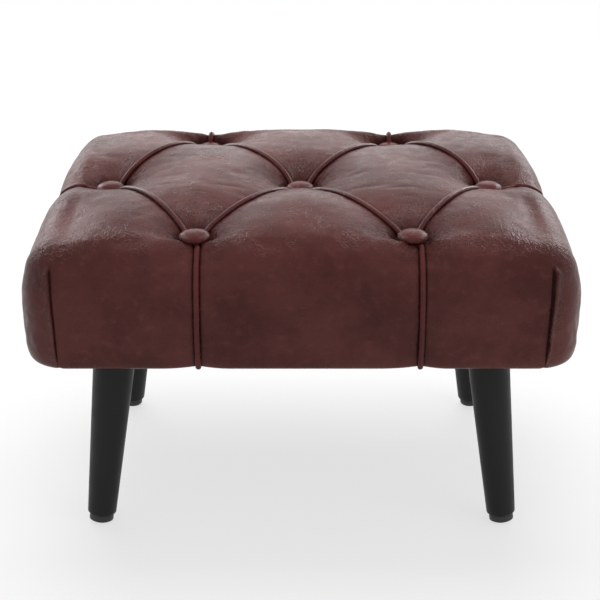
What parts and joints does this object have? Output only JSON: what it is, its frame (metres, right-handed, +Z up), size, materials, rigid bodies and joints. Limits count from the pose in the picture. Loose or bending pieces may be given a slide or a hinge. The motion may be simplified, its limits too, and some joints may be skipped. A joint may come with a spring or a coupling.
{
  "type": "footstool",
  "caption": "Rectangular tufted footstool with a deep-buttoned, piped leather cover in sewn panels on splayed round tapered legs with floor glides.",
  "frame": {"origin": "on the floor, under the middle of the cushion", "axes": "+Z up, +X along the long side to the right, the front faces -Y"},
  "size_m": [0.4014, 0.303, 0.2572],
  "materials": {
    "cover_leather": "satin",
    "leg_black": "satin",
    "black_plastic": "matte",
    "frame_timber": "matte",
    "deck_plywood": "matte",
    "seat_foam": "matte",
    "zinc_steel": "satin",
    "twine": "matte",
    "dust_cloth": "matte"
  },
  "bodies": {
    "root": {"front_rail": "frame_timber", "back_rail": "frame_timber", "left_rail": "frame_timber", "right_rail": "frame_timber", "corner_block_front_left": "frame_timber", "leg_front_left": "leg_black", "glide_front_left": "black_plastic", "cover_corner_front_left": "cover_leather", "corner_block_front_right": "frame_timber", "leg_front_right": "leg_black", "glide_front_right": "black_plastic", "cover_corner_front_right": "cover_leather", "corner_block_back_left": "frame_timber", "leg_back_left": "leg_black", "glide_back_left": "black_plastic", "cover_corner_back_left": "cover_leather", "corner_block_back_right": "frame_timber", "leg_back_right": "leg_black", "glide_back_right": "black_plastic", "cover_corner_back_right": "cover_leather", "seat_deck": "deck_plywood", "foam_pad": "seat_foam", "side_padding_front": "seat_foam", "side_padding_back": "seat_foam", "side_padding_left": "seat_foam", "side_padding_right": "seat_foam", "cover_diamond_left": "cover_leather", "cover_diamond_right": "cover_leather", "cover_front": "cover_leather", "cover_back": "cover_leather", "piping_front_left_to_centre": "cover_leather", "piping_front_left_to_middle_left": "cover_leather", "piping_front_left_face": "cover_leather", "piping_front_right_to_centre": "cover_leather", "piping_front_right_to_middle_right": "cover_leather", "piping_front_right_face": "cover_leather", "piping_back_left_to_centre": "cover_leather", "piping_back_left_to_middle_left": "cover_leather", "piping_back_left_face": "cover_leather", "piping_back_right_to_centre": "cover_leather", "piping_back_right_to_middle_right": "cover_leather", "piping_back_right_face": "cover_leather", "piping_left_side": "cover_leather", "piping_right_side": "cover_leather", "button_front_left": "cover_leather", "button_front_right": "cover_leather", "button_back_left": "cover_leather", "button_back_right": "cover_leather", "button_middle_left": "cover_leather", "button_centre": "cover_leather", "button_middle_right": "cover_leather", "button_shanks": "zinc_steel", "tufting_twines": "twine", "twine_washers": "black_plastic", "hanger_bolts": "zinc_steel", "leg_inserts": "zinc_steel", "dust_cover": "dust_cloth", "staples": "zinc_steel", "frame_screws": "zinc_steel", "deck_screws": "zinc_steel"}
  },
  "joints": []
}
